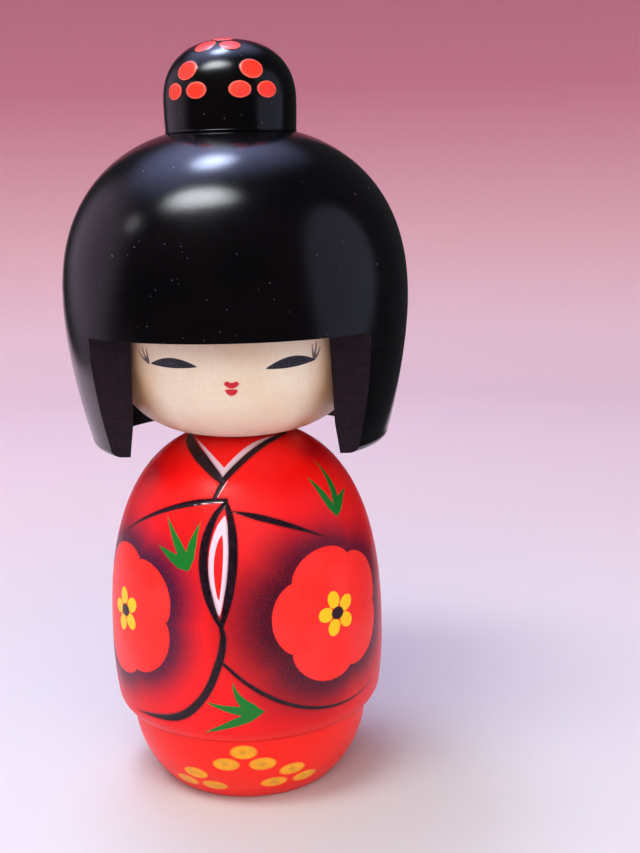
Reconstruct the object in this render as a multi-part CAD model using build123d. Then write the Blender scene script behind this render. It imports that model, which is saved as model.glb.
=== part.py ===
from build123d import *
import os
from math import cos, pi, sin

# Turned wooden kokeshi doll, in millimetres.
# Frame: +Z up along the turning axis, front of the doll faces -Y, the doll's left side is +X.
# Origin: centre of the base, on the surface that the doll stands on.

# Overall
TOTAL_HEIGHT = 150.0

# Body, with its foot turned from the same block
BODY_RADIUS = 28.27
BODY_WIDEST_Z = 30.0
BODY_DOME_HEIGHT = 44.0
BODY_DOME_EXPONENT = 2.5
BODY_TOP_Z = 72.9
BODY_SKIRT_TAPER = 0.0065
HEM_ROUND_TOP_Z = 19.0
HEM_ROUND_MID = (26.6, 16.95)
HEM_LEDGE_RADIUS = 25.0
HEM_Z = 15.5
FOOT_RADIUS = 24.5
FOOT_SEMI_HEIGHT = 22.2
BASE_EDGE_ROUND = 0.6
BASE_RECESS_RADIUS = 12.0
BASE_RECESS_DEPTH = 1.2

# Head
HEAD_BOTTOM_Z = 73.0
HEAD_CENTRE_Z = 103.3
HEAD_RADIUS = 27.0
HEAD_LOWER_SEMI_HEIGHT = 30.5
HEAD_LOWER_EXPONENT = 3.0
HEAD_UPPER_SEMI_HEIGHT = 22.3
HEAD_UPPER_EXPONENT = 2.3

# Hair cap, a thick lacquered shell over the head
CAP_RADIUS = 34.4
CAP_WIDEST_Z = 100.0
CAP_DOME_HEIGHT = 33.75
CAP_DOME_EXPONENT = 2.3
CAP_SKIRT_TAPER = 0.01603
CAP_SKIRT_POWER = 1.7
CAP_HEM_Z = 71.4
CAP_HEM_ROUND = 1.8
CAP_BORE_RADIUS = 27.4
CAP_TOP_Z = 132.2

# Front opening of the cap: a flat leaning face on each side lock, a level fringe above
FRINGE_Z = 95.05
LOCK_FACE_MID_Z = 85.0
LOCK_FACE_DISTANCE = 20.3
LOCK_FACE_LEAN = 0.18

# Topknot
KNOT_RADIUS = 13.0
KNOT_WIDEST_Z = 138.0
KNOT_DOME_EXPONENT = 2.3
KNOT_BOTTOM_RADIUS = 12.85
KNOT_SEAM_ROUND = 0.5

# Dowels
NECK_DOWEL_RADIUS = 4.0
NECK_DOWEL_BOTTOM_Z = 53.0
NECK_DOWEL_TOP_Z = 88.0
KNOT_DOWEL_RADIUS = 3.0
KNOT_DOWEL_BOTTOM_Z = 113.0
KNOT_DOWEL_TOP_Z = 143.0
DOWEL_CHAMFER = 0.5

# Gaps
GLUE_GAP = 0.02
SHELL_GLUE_GAP = 0.05
NECK_RUNNING_CLEARANCE = 0.05
DOWEL_END_GAP = 0.3

CURVE_POINTS = 24
KNOT_DOME_HEIGHT = TOTAL_HEIGHT - KNOT_WIDEST_Z


def superellipse_radius(radius, semi_height, exponent, height):
    """Radius of a superellipse at a height above or below its centre."""
    return radius * (1 - abs(height / semi_height) ** exponent) ** (1 / exponent)


def dome_points(radius, semi_height, exponent, centre_z):
    """Points of a quarter superellipse from its widest circle up to its apex."""
    points = []
    for i in range(CURVE_POINTS + 1):
        angle = pi / 2 * i / CURVE_POINTS
        r = radius * max(cos(angle), 0) ** (2 / exponent)
        z = centre_z + semi_height * sin(angle) ** (2 / exponent)
        points.append((r if i < CURVE_POINTS else 0.0, z))
    return points


def curve_points(radius_at, low_z, high_z, count=CURVE_POINTS):
    """Points of a radius formula between two heights."""
    heights = [low_z + (high_z - low_z) * i / count for i in range(count + 1)]
    return [(radius_at(z), z) for z in heights]


def body_dome_radius(z):
    """Body radius above its widest circle."""
    return superellipse_radius(BODY_RADIUS, BODY_DOME_HEIGHT, BODY_DOME_EXPONENT, z - BODY_WIDEST_Z)


def body_skirt_radius(z):
    """Body radius below its widest circle."""
    return BODY_RADIUS - BODY_SKIRT_TAPER * (BODY_WIDEST_Z - z) ** 2


def foot_radius(z):
    """Foot radius under the hem, an elliptical bowl."""
    return superellipse_radius(FOOT_RADIUS, FOOT_SEMI_HEIGHT, 2, HEM_Z - z)


def head_lower_radius(z):
    """Head radius below its widest circle."""
    return superellipse_radius(HEAD_RADIUS, HEAD_LOWER_SEMI_HEIGHT, HEAD_LOWER_EXPONENT, z - HEAD_CENTRE_Z)


def cap_skirt_radius(z):
    """Outer radius of the hair below its widest circle."""
    return CAP_RADIUS - CAP_SKIRT_TAPER * (CAP_WIDEST_Z - z) ** CAP_SKIRT_POWER


def cap_dome_radius(z):
    """Outer radius of the hair above its widest circle."""
    return superellipse_radius(CAP_RADIUS, CAP_DOME_HEIGHT, CAP_DOME_EXPONENT, z - CAP_WIDEST_Z)


def rod(radius, low_z, high_z):
    """Cylinder on the Z axis between two heights."""
    base = (Align.CENTER, Align.CENTER, Align.MIN)
    return Pos(0, 0, low_z) * Cylinder(radius, high_z - low_z, align=base)


def turned(draw_outline):
    """Solid of revolution about Z of the closed outline that draw_outline adds on the XZ plane."""
    with BuildPart() as solid:
        with BuildSketch(Plane.XZ):
            with BuildLine():
                draw_outline()
            make_face()
        revolve(axis=Axis.Z)
    return solid.part


def body_outline():
    """Body and foot: flat base, bowl-shaped foot, hem ledge, rounded skirt and dome."""
    base_radius = foot_radius(0)
    Line((0, 0), (base_radius, 0))
    Spline(*curve_points(foot_radius, 0, HEM_Z))
    Line((FOOT_RADIUS, HEM_Z), (HEM_LEDGE_RADIUS, HEM_Z))
    hem_top = (body_skirt_radius(HEM_ROUND_TOP_Z), HEM_ROUND_TOP_Z)
    ThreePointArc((HEM_LEDGE_RADIUS, HEM_Z), HEM_ROUND_MID, hem_top)
    Spline(*curve_points(body_skirt_radius, HEM_ROUND_TOP_Z, BODY_WIDEST_Z, 8))
    Spline(*curve_points(body_dome_radius, BODY_WIDEST_Z, BODY_TOP_Z))
    Line((body_dome_radius(BODY_TOP_Z), BODY_TOP_Z), (0, BODY_TOP_Z))
    Line((0, BODY_TOP_Z), (0, 0))


def make_body():
    """Body with the neck socket in its top and a shallow recess in its base."""
    solid = turned(body_outline)
    base_edge = solid.edges().filter_by(GeomType.CIRCLE).sort_by(Axis.Z)[0]
    solid = fillet(base_edge, BASE_EDGE_ROUND)
    solid -= rod(NECK_DOWEL_RADIUS + NECK_RUNNING_CLEARANCE, NECK_DOWEL_BOTTOM_Z - DOWEL_END_GAP, BODY_TOP_Z)
    solid -= rod(BASE_RECESS_RADIUS, 0, BASE_RECESS_DEPTH)
    return solid


def head_outline():
    """Head: small flat chin face, bowl-shaped lower half, lower dome above."""
    chin_radius = head_lower_radius(HEAD_BOTTOM_Z)
    upper = dome_points(HEAD_RADIUS, HEAD_UPPER_SEMI_HEIGHT, HEAD_UPPER_EXPONENT, HEAD_CENTRE_Z)
    Line((0, HEAD_BOTTOM_Z), (chin_radius, HEAD_BOTTOM_Z))
    Spline(*curve_points(head_lower_radius, HEAD_BOTTOM_Z, HEAD_CENTRE_Z, 2 * CURVE_POINTS))
    Spline(*upper, tangents=((0, 1), (-1, 0)))
    Line(upper[-1], (0, HEAD_BOTTOM_Z))


def make_head():
    """Head with a dowel hole from below for the neck and one from above for the topknot."""
    solid = turned(head_outline)
    neck_hole_top = NECK_DOWEL_TOP_Z + DOWEL_END_GAP
    knot_hole_bottom = KNOT_DOWEL_BOTTOM_Z - DOWEL_END_GAP
    solid -= rod(NECK_DOWEL_RADIUS + GLUE_GAP, HEAD_BOTTOM_Z, neck_hole_top)
    solid -= rod(KNOT_DOWEL_RADIUS + GLUE_GAP, knot_hole_bottom, CAP_TOP_Z)
    return solid


def cap_outline():
    """Hair, solid inside: level hem with a rounded outer edge, skirt, dome cut flat for the topknot."""
    round_top = CAP_HEM_Z + CAP_HEM_ROUND
    side = cap_skirt_radius(round_top)
    low_edge = side - CAP_HEM_ROUND
    lean = CAP_HEM_ROUND * (1 - sin(pi / 4))
    Line((0, CAP_HEM_Z), (low_edge, CAP_HEM_Z))
    ThreePointArc((low_edge, CAP_HEM_Z), (side - lean, CAP_HEM_Z + lean), (side, round_top))
    Spline(*curve_points(cap_skirt_radius, round_top, CAP_WIDEST_Z))
    Spline(*curve_points(cap_dome_radius, CAP_WIDEST_Z, CAP_TOP_Z))
    Line((cap_dome_radius(CAP_TOP_Z), CAP_TOP_Z), (0, CAP_TOP_Z))
    Line((0, CAP_TOP_Z), (0, CAP_HEM_Z))


def cavity_outline():
    """Space inside the hair: the top of the head with a glue gap around it."""
    radius = HEAD_RADIUS + SHELL_GLUE_GAP
    semi_height = HEAD_UPPER_SEMI_HEIGHT + SHELL_GLUE_GAP
    upper = dome_points(radius, semi_height, HEAD_UPPER_EXPONENT, HEAD_CENTRE_Z)
    Line((0, HEAD_CENTRE_Z), (radius, HEAD_CENTRE_Z))
    Spline(*upper, tangents=((0, 1), (-1, 0)))
    Line(upper[-1], (0, HEAD_CENTRE_Z))


def lock_face_y(z):
    """Front-to-back place of the side locks' flat faces at a height."""
    return -(LOCK_FACE_DISTANCE + LOCK_FACE_LEAN * (z - LOCK_FACE_MID_Z))


def face_opening():
    """Block cut away in front of the face, below the fringe."""
    front = -2 * CAP_RADIUS
    low = CAP_HEM_Z - 10
    corners = [(lock_face_y(low), low), (lock_face_y(FRINGE_Z), FRINGE_Z), (front, FRINGE_Z), (front, low)]
    side = Plane.YZ * make_face(Polyline(*corners, close=True))
    return extrude(side, amount=2 * CAP_RADIUS, both=True)


def make_hair_cap():
    """Hair cap: bored from below for the head, opened at the front, pierced at the crown."""
    solid = turned(cap_outline)
    solid -= rod(CAP_BORE_RADIUS, CAP_HEM_Z, HEAD_CENTRE_Z)
    solid -= turned(cavity_outline)
    solid -= face_opening()
    solid -= rod(KNOT_DOWEL_RADIUS + GLUE_GAP, HEAD_CENTRE_Z, CAP_TOP_Z)
    return solid


def knot_outline():
    """Topknot: flat seat with a rounded rim, nearly straight side, full dome."""
    crown = dome_points(KNOT_RADIUS, KNOT_DOME_HEIGHT, KNOT_DOME_EXPONENT, KNOT_WIDEST_Z)
    rim_top = CAP_TOP_Z + KNOT_SEAM_ROUND
    rim_low = KNOT_BOTTOM_RADIUS - KNOT_SEAM_ROUND
    bend = KNOT_SEAM_ROUND * (1 - sin(pi / 4))
    rim_mid = (KNOT_BOTTOM_RADIUS - bend, CAP_TOP_Z + bend)
    Line((0, CAP_TOP_Z), (rim_low, CAP_TOP_Z))
    ThreePointArc((rim_low, CAP_TOP_Z), rim_mid, (KNOT_BOTTOM_RADIUS, rim_top))
    Spline((KNOT_BOTTOM_RADIUS, rim_top), (KNOT_RADIUS, KNOT_WIDEST_Z), tangents=((0.05, 1), (0, 1)))
    Spline(*crown, tangents=((0, 1), (-1, 0)))
    Line(crown[-1], (0, CAP_TOP_Z))


def make_topknot():
    """Topknot with its dowel hole."""
    solid = turned(knot_outline)
    solid -= rod(KNOT_DOWEL_RADIUS + GLUE_GAP, CAP_TOP_Z, KNOT_DOWEL_TOP_Z + DOWEL_END_GAP)
    return solid


def make_dowel(radius, low_z, high_z):
    """Dowel with a chamfer at each end."""
    solid = rod(radius, low_z, high_z)
    return chamfer(solid.edges().filter_by(GeomType.CIRCLE), DOWEL_CHAMFER)


NODES = {
    "body": make_body(),
    "neck_dowel": make_dowel(NECK_DOWEL_RADIUS, NECK_DOWEL_BOTTOM_Z, NECK_DOWEL_TOP_Z),
    "head": make_head(),
    "hair_cap": make_hair_cap(),
    "topknot": make_topknot(),
    "topknot_dowel": make_dowel(KNOT_DOWEL_RADIUS, KNOT_DOWEL_BOTTOM_Z, KNOT_DOWEL_TOP_Z),
}

os.makedirs("parts", exist_ok=True)
for node, solid in NODES.items():
    export_step(solid, f"parts/{node}.step")
    size = solid.bounding_box().size
    print(f"{node}: {solid.volume:.0f} mm3, {size.X:.2f} x {size.Y:.2f} x {size.Z:.2f} mm")
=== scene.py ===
import math

import bmesh
import bpy
import numpy as np
from mathutils import Matrix, Vector


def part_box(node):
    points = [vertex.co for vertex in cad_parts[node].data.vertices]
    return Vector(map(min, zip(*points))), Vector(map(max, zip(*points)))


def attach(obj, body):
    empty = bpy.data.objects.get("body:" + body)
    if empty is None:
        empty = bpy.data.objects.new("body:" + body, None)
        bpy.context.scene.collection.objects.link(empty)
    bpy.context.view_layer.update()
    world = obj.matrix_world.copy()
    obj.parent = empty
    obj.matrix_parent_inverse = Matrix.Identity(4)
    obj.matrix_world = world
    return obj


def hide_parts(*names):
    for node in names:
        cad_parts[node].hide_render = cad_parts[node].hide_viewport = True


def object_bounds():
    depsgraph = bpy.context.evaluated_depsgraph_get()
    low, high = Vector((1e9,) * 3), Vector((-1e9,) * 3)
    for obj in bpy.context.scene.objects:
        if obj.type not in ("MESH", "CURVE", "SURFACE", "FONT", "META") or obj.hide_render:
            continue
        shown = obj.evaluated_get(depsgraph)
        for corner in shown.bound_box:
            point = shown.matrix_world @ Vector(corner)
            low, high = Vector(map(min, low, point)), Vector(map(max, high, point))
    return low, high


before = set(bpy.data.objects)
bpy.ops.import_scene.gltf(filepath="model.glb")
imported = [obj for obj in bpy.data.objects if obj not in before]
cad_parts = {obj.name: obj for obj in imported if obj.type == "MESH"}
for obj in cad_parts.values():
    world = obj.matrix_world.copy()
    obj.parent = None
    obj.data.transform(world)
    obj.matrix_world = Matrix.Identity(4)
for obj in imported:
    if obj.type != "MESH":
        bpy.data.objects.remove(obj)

cad_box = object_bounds()

# Unless a comment says otherwise, lengths are in millimetres of a doll 150 mm tall, and MM turns them into
# metres.
# Surface places are (degrees from the front towards the doll's left, height).
MM = (cad_box[1][2] - cad_box[0][2]) / 150
# Painted distances are kept up to this far from a shape
CLEAR = 3.0
# Points closer together than this count as one
WELD_DISTANCE = 0.002
# A hair's breadth, to tell one edge from the next
SLIVER = 0.01

# ---- outlines

# Outer sizes come from the CAD, and the holes clear the CAD's dowels
BODY_TOP_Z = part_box("body")[1].z / MM
BODY_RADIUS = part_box("body")[1].x / MM
HEAD_BOTTOM_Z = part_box("head")[0].z / MM
HEAD_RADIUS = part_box("head")[1].x / MM
CAP_HEM_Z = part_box("hair_cap")[0].z / MM
CAP_TOP_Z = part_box("hair_cap")[1].z / MM
CAP_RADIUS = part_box("hair_cap")[1].x / MM
KNOT_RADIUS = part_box("topknot")[1].x / MM
NECK_CLEARANCE = 0.05
SHELL_GLUE_GAP = 0.05
GLUE_GAP = 0.02
DOWEL_END_GAP = 0.3
NECK_SOCKET_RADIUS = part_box("neck_dowel")[1].x / MM + NECK_CLEARANCE
NECK_SOCKET_BOTTOM_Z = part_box("neck_dowel")[0].z / MM - DOWEL_END_GAP
NECK_HOLE_RADIUS = NECK_SOCKET_RADIUS - NECK_CLEARANCE + GLUE_GAP
NECK_HOLE_TOP_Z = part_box("neck_dowel")[1].z / MM + DOWEL_END_GAP
PIN_HOLE_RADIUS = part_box("topknot_dowel")[1].x / MM + GLUE_GAP
PIN_HOLE_BOTTOM_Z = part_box("topknot_dowel")[0].z / MM - DOWEL_END_GAP
PIN_HOLE_TOP_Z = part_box("topknot_dowel")[1].z / MM + DOWEL_END_GAP

BODY_WIDEST_Z = 30.0
BODY_DOME_HEIGHT = 44.0
BODY_DOME_EXPONENT = 2.5
BODY_SKIRT_TAPER = 0.0065
HEM_Z = 15.5
HEM_LEDGE_RADIUS = 25.0
HEM_ROUND_MID = (26.6, 16.95)
HEM_ROUND_TOP_Z = 19.0
FOOT_RADIUS = 24.5
FOOT_SEMI_HEIGHT = 22.2
BASE_ROUND = 0.6
BASE_ROUND_MID = (0.1, 0.14)
BASE_RECESS = (12.0, 1.2)
HEAD_CENTRE_Z = 103.3
HEAD_LOWER_SEMI_HEIGHT = 30.5
HEAD_LOWER_EXPONENT = 3
HEAD_UPPER_SEMI_HEIGHT = 22.3
CAP_WIDEST_Z = 100.0
CAP_DOME_HEIGHT = 33.75
CAP_SKIRT_TAPER = 0.01603
CAP_SKIRT_POWER = 1.7
CAP_HEM_ROUND = 1.8
CAP_BORE_RADIUS = 27.1
FRINGE_Z = 95.05
LOCK_MID_Z = 85.0
LOCK_FACE_DISTANCE = 20.3
LOCK_FACE_LEAN = 0.157
LOCK_INNER_DISTANCE = 18.9
LOCK_INNER_LEAN = 0.043
KNOT_WIDEST_Z = 138.0
KNOT_TOP_Z = 149.9
KNOT_BOTTOM_RADIUS = 12.85
SEAM_BEAD = 0.08
SEAM_BEAD_HEIGHT = 0.4
# The head, the hair and the topknot all have domes of this roundness
DOME_EXPONENT = 2.3


def superellipse(radius, semi_height, exponent, height):
    """Radius of a superellipse at heights above or below its centre."""
    inside = 1 - (np.abs(height) / semi_height) ** exponent
    return radius * np.maximum(inside, 0) ** (1 / exponent)


def quarter(radius, semi_height, centre_z, steps):
    """(radius, z) points of a quarter superellipse from its widest circle up to its apex."""
    angle = np.linspace(0, math.pi / 2, steps + 1)
    r = radius * np.cos(angle).clip(0) ** (2 / DOME_EXPONENT)
    z = centre_z + semi_height * np.sin(angle) ** (2 / DOME_EXPONENT)
    return np.column_stack([r, z])


def arc_through(a, b, c, steps):
    """Points of the circular arc from a through b to c."""
    (ax, ay), (bx, by), (cx, cy) = a, b, c
    d = 2 * (ax * (by - cy) + bx * (cy - ay) + cx * (ay - by))
    sa, sb, sc = ax * ax + ay * ay, bx * bx + by * by, cx * cx + cy * cy
    ox = (sa * (by - cy) + sb * (cy - ay) + sc * (ay - by)) / d
    oy = (sa * (cx - bx) + sb * (ax - cx) + sc * (bx - ax)) / d
    start = math.atan2(ay - oy, ax - ox)
    end = math.atan2(cy - oy, cx - ox)
    turn = (end - start) % math.tau if d > 0 else -((start - end) % math.tau)
    angle = start + np.linspace(0, turn, steps + 1)
    radius = math.hypot(ax - ox, ay - oy)
    return np.column_stack([ox + radius * np.cos(angle), oy + radius * np.sin(angle)])


def evenly(points, spacing):
    """The same outline with its points about evenly spaced, ends kept."""
    points = np.asarray(points, float)
    length = np.r_[0, np.cumsum(np.hypot(*np.diff(points, axis=0).T))]
    count = max(2, int(round(length[-1] / spacing)) + 1)
    at = np.linspace(0, length[-1], count)
    return np.column_stack([np.interp(at, length, points[:, k]) for k in range(2)])


def joined(*runs):
    """Outline runs end to end, without doubled points."""
    out = [np.asarray(runs[0], float)]
    for run in runs[1:]:
        run = np.asarray(run, float)
        same = np.allclose(out[-1][-1], run[0], atol=1e-6)
        out.append(run[1:] if same else run)
    return np.vstack(out)


def by_height(radius_at, low_z, high_z, steps=200):
    """(radius, z) points of a radius formula between two heights."""
    z = np.linspace(low_z, high_z, steps + 1)
    return np.column_stack([radius_at(z), z])


def foot_radius(z):
    """Radius of the bowl-shaped foot."""
    return superellipse(FOOT_RADIUS, FOOT_SEMI_HEIGHT, 2, HEM_Z - z)


def skirt_radius(z):
    """Body radius below its widest circle."""
    return BODY_RADIUS - BODY_SKIRT_TAPER * (BODY_WIDEST_Z - z) ** 2


def body_dome_radius(z):
    """Body radius above its widest circle."""
    return superellipse(BODY_RADIUS, BODY_DOME_HEIGHT, BODY_DOME_EXPONENT, z - BODY_WIDEST_Z)


def head_radius(z):
    """Head radius below its widest circle."""
    return superellipse(HEAD_RADIUS, HEAD_LOWER_SEMI_HEIGHT, HEAD_LOWER_EXPONENT, z - HEAD_CENTRE_Z)


def cap_radius(z):
    """Outer radius of the hair."""
    z = np.asarray(z, float)
    dome = superellipse(CAP_RADIUS, CAP_DOME_HEIGHT, DOME_EXPONENT, np.maximum(z - CAP_WIDEST_Z, 0))
    return dome - CAP_SKIRT_TAPER * np.maximum(CAP_WIDEST_Z - z, 0) ** CAP_SKIRT_POWER


def body_outline(spacing):
    """Body and foot, from the base recess up and round into the neck socket."""
    base = foot_radius(0)
    inset, lift = BASE_ROUND_MID
    round_top = (foot_radius(BASE_ROUND), BASE_ROUND)
    rounded = arc_through((base - BASE_ROUND, 0), (base - inset, lift), round_top, 4)
    hem_top = (skirt_radius(HEM_ROUND_TOP_Z), HEM_ROUND_TOP_Z)
    hem = arc_through((HEM_LEDGE_RADIUS, HEM_Z), HEM_ROUND_MID, hem_top, 24)
    recess_radius, recess_depth = BASE_RECESS
    neck_radius = body_dome_radius(BODY_TOP_Z)
    side = joined(by_height(skirt_radius, HEM_ROUND_TOP_Z, BODY_WIDEST_Z),
                  by_height(body_dome_radius, BODY_WIDEST_Z, BODY_TOP_Z))
    recess = [(0, recess_depth), (recess_radius, recess_depth), (recess_radius, 0), (base - BASE_ROUND, 0)]
    ledge = [(FOOT_RADIUS, HEM_Z), (HEM_LEDGE_RADIUS, HEM_Z)]
    socket = [(neck_radius, BODY_TOP_Z), (NECK_SOCKET_RADIUS, BODY_TOP_Z),
              (NECK_SOCKET_RADIUS, NECK_SOCKET_BOTTOM_Z), (0, NECK_SOCKET_BOTTOM_Z)]
    coarse = spacing * 1.3
    foot = evenly(by_height(foot_radius, BASE_ROUND, HEM_Z), coarse)
    return joined(recess, rounded, foot, ledge, evenly(hem, coarse), evenly(side, spacing), socket)


def head_outline(spacing):
    """Head, from inside the neck hole round to inside the pin hole."""
    chin = head_radius(HEAD_BOTTOM_Z)
    hidden_z = FRINGE_Z + 1
    crown = quarter(HEAD_RADIUS, HEAD_UPPER_SEMI_HEIGHT, HEAD_CENTRE_Z, 200)
    crown = crown[crown[:, 0] > PIN_HOLE_RADIUS]
    neck_hole = [(0, NECK_HOLE_TOP_Z), (NECK_HOLE_RADIUS, NECK_HOLE_TOP_Z),
                 (NECK_HOLE_RADIUS, HEAD_BOTTOM_Z), (chin, HEAD_BOTTOM_Z)]
    face = evenly(by_height(head_radius, HEAD_BOTTOM_Z, hidden_z), spacing)
    under_hair = evenly(by_height(head_radius, hidden_z, HEAD_CENTRE_Z), 1)
    pin_hole = [(PIN_HOLE_RADIUS, PIN_HOLE_BOTTOM_Z), (0, PIN_HOLE_BOTTOM_Z)]
    return joined(neck_hole, face, under_hair, evenly(crown, 2), pin_hole)


def knot_outline(spacing):
    """Topknot, from its pin hole out along the seat, up the side and over the crown."""
    rim_top = CAP_TOP_Z + SEAM_BEAD_HEIGHT
    low = (KNOT_BOTTOM_RADIUS, CAP_TOP_Z)
    rim = arc_through(low, (KNOT_BOTTOM_RADIUS + SEAM_BEAD, (CAP_TOP_Z + rim_top) / 2),
                      (KNOT_BOTTOM_RADIUS, rim_top), 8)
    swell = (KNOT_RADIUS - KNOT_BOTTOM_RADIUS) / (KNOT_WIDEST_Z - rim_top) ** 2
    side = by_height(lambda z: KNOT_RADIUS - swell * (KNOT_WIDEST_Z - z) ** 2, rim_top, KNOT_WIDEST_Z)
    crown = quarter(KNOT_RADIUS, KNOT_TOP_Z - KNOT_WIDEST_Z, KNOT_WIDEST_Z, 200)
    pin_hole = [(0, PIN_HOLE_TOP_Z), (PIN_HOLE_RADIUS, PIN_HOLE_TOP_Z), (PIN_HOLE_RADIUS, CAP_TOP_Z), low]
    return joined(pin_hole, rim, evenly(joined(side, crown), spacing))


# ---- meshes

def new_object(name, verts, faces, materials, face_slots=None):
    """Smooth-shaded object from vertices in millimetres."""
    mesh = bpy.data.meshes.new(name)
    mesh.from_pydata((np.asarray(verts) * MM).tolist(), [], faces)
    for material in materials:
        mesh.materials.append(material)
    if face_slots is not None:
        mesh.polygons.foreach_set("material_index", face_slots)
    mesh.polygons.foreach_set("use_smooth", [True] * len(mesh.polygons))
    mesh.validate()
    mesh.update()
    obj = bpy.data.objects.new(name, mesh)
    bpy.context.scene.collection.objects.link(obj)
    return obj


def grid_faces(rows, columns, start=0, join_rows=False, join_columns=False):
    """Four-sided faces over a grid of points, joined round on itself where asked."""
    faces = []
    for i in range(rows if join_rows else rows - 1):
        for j in range(columns if join_columns else columns - 1):
            low, high = start + i * columns, start + (i + 1) % rows * columns
            k = (j + 1) % columns
            faces.append((low + j, low + k, high + k, high + j))
    return faces


def front_angles(half_width, fine, coarse):
    """Degrees round the doll, finely spaced within half_width of the front."""
    near = np.linspace(-half_width, half_width, int(round(2 * half_width / fine)) + 1)
    far = np.linspace(half_width, 360 - half_width, int(round((360 - 2 * half_width) / coarse)) + 1)
    return np.r_[near, far[1:-1]]


class Turned:
    """A turned surface: its grid of vertices with their angle, height and distance along the outline."""

    def __init__(self, outline, angles):
        self.outline = outline
        self.ring = outline[outline[:, 0] > 0]
        self.rows = len(self.ring)
        self.columns = len(angles)
        length = np.r_[0, np.cumsum(np.hypot(*np.diff(self.ring, axis=0).T))]
        self.length_of_row = length
        self.theta = np.tile((angles + 180) % 360 - 180, self.rows)
        self.r = np.repeat(self.ring[:, 0], self.columns)
        self.z = np.repeat(self.ring[:, 1], self.columns)
        self.along = np.repeat(length, self.columns)
        self.offset = np.zeros(self.rows * self.columns)
        tangent = np.gradient(self.ring, axis=0)
        tangent /= np.linalg.norm(tangent, axis=1)[:, None] + 1e-12
        self.normal = np.repeat(np.column_stack([tangent[:, 1], -tangent[:, 0]]), self.columns, axis=0)
        self.points = self.place(self.theta, self.r, self.z)
        self.fields = {}
        self.low_row = 0

    @staticmethod
    def place(theta, r, z):
        """Points in space from angle in degrees, radius and height."""
        angle = np.radians(theta)
        return np.column_stack([r * np.sin(angle), -r * np.cos(angle), np.broadcast_to(z, np.shape(theta))])

    def painted_rows(self):
        """The rows of the outer side, from the lowest that is painted up to the highest of all."""
        return slice(self.low_row, int(np.argmax(self.ring[:, 1])) + 1)

    def on_surface(self, theta, z):
        """Points on the outer side of the surface at angles and heights."""
        rows = self.painted_rows()
        return self.place(theta, np.interp(z, self.ring[rows, 1], self.ring[rows, 0]), z)

    def field(self, name, values):
        """Keeps the nearest of several signed distances under one name, below zero inside."""
        old = self.fields.get(name)
        self.fields[name] = values if old is None else np.minimum(old, values)

    def build(self, name, materials):
        """The object, closed at both ends of the outline, with its fields as point attributes."""
        r = self.r + self.offset * self.normal[:, 0]
        z = self.z + self.offset * self.normal[:, 1]
        poles = [(0, 0, self.outline[0, 1]), (0, 0, self.outline[-1, 1])]
        verts = np.vstack([self.place(self.theta, r, z), poles])
        faces = grid_faces(self.rows, self.columns, join_columns=True)
        last = (self.rows - 1) * self.columns
        low_pole, high_pole = len(verts) - 2, len(verts) - 1
        for j in range(self.columns):
            k = (j + 1) % self.columns
            faces.append((low_pole, k, j))
            faces.append((high_pole, last + j, last + k))
        obj = new_object(name, verts, faces, materials)
        for field_name, values in self.fields.items():
            data = obj.data.attributes.new(field_name, "FLOAT", "POINT").data
            data.foreach_set("value", np.r_[values, CLEAR, CLEAR].astype(np.float32))
        return obj


# ---- painting: distances to drawn shapes

CURVE_STEPS = 6


def smooth_path(rows, closed=False):
    """Catmull-Rom curve through rows of numbers."""
    p = np.asarray(rows, float)
    ends = (p[-1], np.vstack([p[0], p[1]])) if closed else (2 * p[0] - p[1], 2 * p[-1] - p[-2])
    p = np.vstack([ends[0], p, ends[1]])
    t = np.linspace(0, 1, CURVE_STEPS, endpoint=False)[:, None]
    out = []
    for a, b, c, d in zip(p[:-3], p[1:-2], p[2:-1], p[3:]):
        out.append(0.5 * (2 * b + (c - a) * t + (2 * a - 5 * b + 4 * c - d) * t ** 2
                          + (3 * b - a - 3 * c + d) * t ** 3))
    if not closed:
        out.append(p[-2][None])
    return np.vstack(out)


def distance_to_path(points, path, half_width):
    """Distance in millimetres from points to a path in space, less the path's half width."""
    best = np.full(len(points), CLEAR)
    near = np.all((points > path.min(0) - CLEAR - 1) & (points < path.max(0) + CLEAR + 1), axis=1)
    some = points[near]
    gap = best[near]
    for a, b, wa, wb in zip(path[:-1], path[1:], half_width[:-1], half_width[1:]):
        ab = b - a
        t = np.clip((some - a) @ ab / max(ab @ ab, 1e-9), 0, 1)
        away = np.linalg.norm(some - a - t[:, None] * ab, axis=1)
        gap = np.minimum(gap, away - wa - t * (wb - wa))
    best[near] = gap
    return best


def stroke(surface, rows):
    """Signed distance to a brush stroke through rows of (angle, height, half width)."""
    path = smooth_path(rows)
    line = surface.on_surface(path[:, 0], path[:, 1])
    return distance_to_path(surface.points, line, path[:, 2].clip(0.02))


def filled(surface, rows, rounded=True):
    """Signed distance to a filled shape with an outline through rows of (angle, height)."""
    path = smooth_path(rows, closed=True) if rounded else np.asarray(rows, float)
    ring = np.vstack([path, path[:1]])
    edge = surface.on_surface(ring[:, 0], ring[:, 1])
    away = distance_to_path(surface.points, edge, np.zeros(len(ring)))
    inside = np.zeros(len(away), bool)
    for (x0, y0), (x1, y1) in zip(ring[:-1], ring[1:]):
        if y0 == y1:
            continue
        crosses = (y0 > surface.z) != (y1 > surface.z)
        inside ^= crosses & (surface.theta < x0 + (surface.z - y0) * (x1 - x0) / (y1 - y0))
    return np.where(inside, -away, away)


def local_place(surface, theta, z):
    """Millimetres across and up the surface from a point on it, for every vertex."""
    rows = surface.painted_rows()
    centre = np.interp(z, surface.ring[rows, 1], surface.length_of_row[rows])
    across = np.radians((surface.theta - theta + 180) % 360 - 180) * surface.r
    return across, surface.along - centre


def dot(surface, theta, z, width, height):
    """Signed distance to an oval spot."""
    across, up = local_place(surface, theta, z)
    away = np.hypot(across / (width / 2), up / (height / 2))
    return ((away - 1) * min(width, height) / 2).clip(-CLEAR, CLEAR)


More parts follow.
